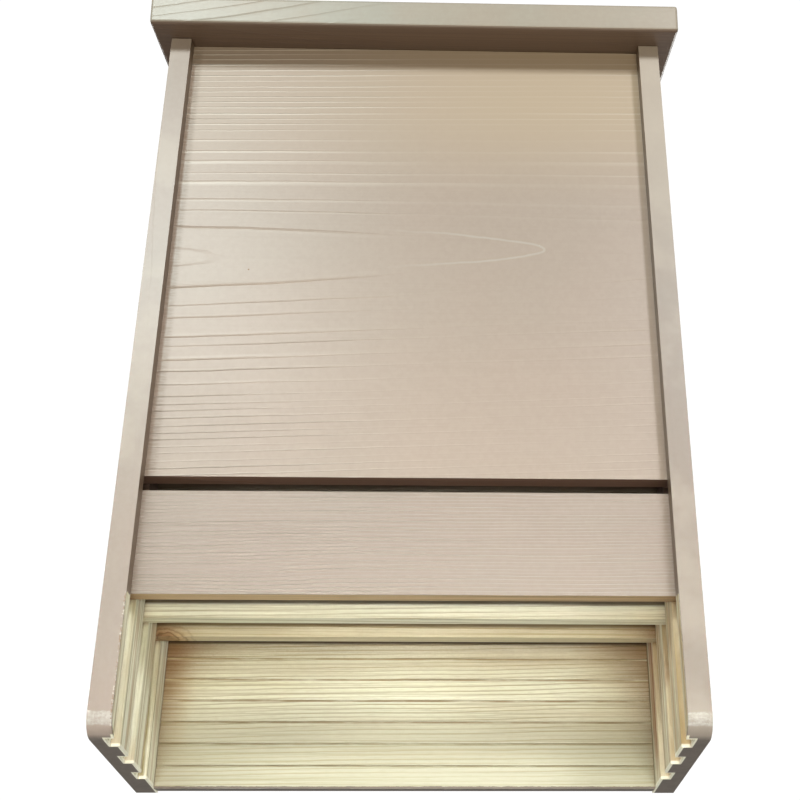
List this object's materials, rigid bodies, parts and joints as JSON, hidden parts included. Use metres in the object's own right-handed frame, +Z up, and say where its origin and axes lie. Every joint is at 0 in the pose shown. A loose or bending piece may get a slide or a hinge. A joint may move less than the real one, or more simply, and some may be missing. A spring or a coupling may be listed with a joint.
{
  "type": "bat box",
  "caption": "Wall-hung wooden bat box with narrow roosting chambers, open foot, vented front, sloping roof and a kerfed landing board.",
  "frame": {"origin": "on the wall plane, on the rear face of the back board, midway between the two keyholes that the box hangs on", "axes": "+Z up, +Y into the wall, -Y towards the front of the box, +X to the right of someone facing the front"},
  "size_m": [0.3392, 0.1397, 0.4934],
  "materials": {
    "painted_wood": "satin taupe paint over raised grain",
    "roof_paint": "pale thin paint over raised grain",
    "bare_pine": "bare sawn pine",
    "steel": "plain steel fasteners"
  },
  "bodies": {
    "root": {"roof_board": "roof_paint", "left_side_board": "painted_wood", "right_side_board": "painted_wood", "upper_front_panel": "painted_wood", "lower_front_panel": "painted_wood", "front_baffle": "bare_pine", "rear_baffle": "bare_pine", "back_board": "bare_pine", "left_front_baffle_brad_1": "steel", "left_front_baffle_brad_2": "steel", "left_lower_front_panel_brad_1": "steel", "left_lower_front_panel_brad_2": "steel", "left_rear_baffle_brad_1": "steel", "left_rear_baffle_brad_2": "steel", "left_roof_screw_1": "steel", "left_roof_screw_2": "steel", "left_roof_screw_3": "steel", "left_side_screw_1": "steel", "left_side_screw_2": "steel", "left_side_screw_3": "steel", "left_side_screw_4": "steel", "left_upper_front_panel_brad_1": "steel", "left_upper_front_panel_brad_2": "steel", "left_upper_front_panel_brad_3": "steel", "right_front_baffle_brad_1": "steel", "right_front_baffle_brad_2": "steel", "right_lower_front_panel_brad_1": "steel", "right_lower_front_panel_brad_2": "steel", "right_rear_baffle_brad_1": "steel", "right_rear_baffle_brad_2": "steel", "right_roof_screw_1": "steel", "right_roof_screw_2": "steel", "right_roof_screw_3": "steel", "right_side_screw_1": "steel", "right_side_screw_2": "steel", "right_side_screw_3": "steel", "right_side_screw_4": "steel", "right_upper_front_panel_brad_1": "steel", "right_upper_front_panel_brad_2": "steel", "right_upper_front_panel_brad_3": "steel"}
  },
  "joints": []
}
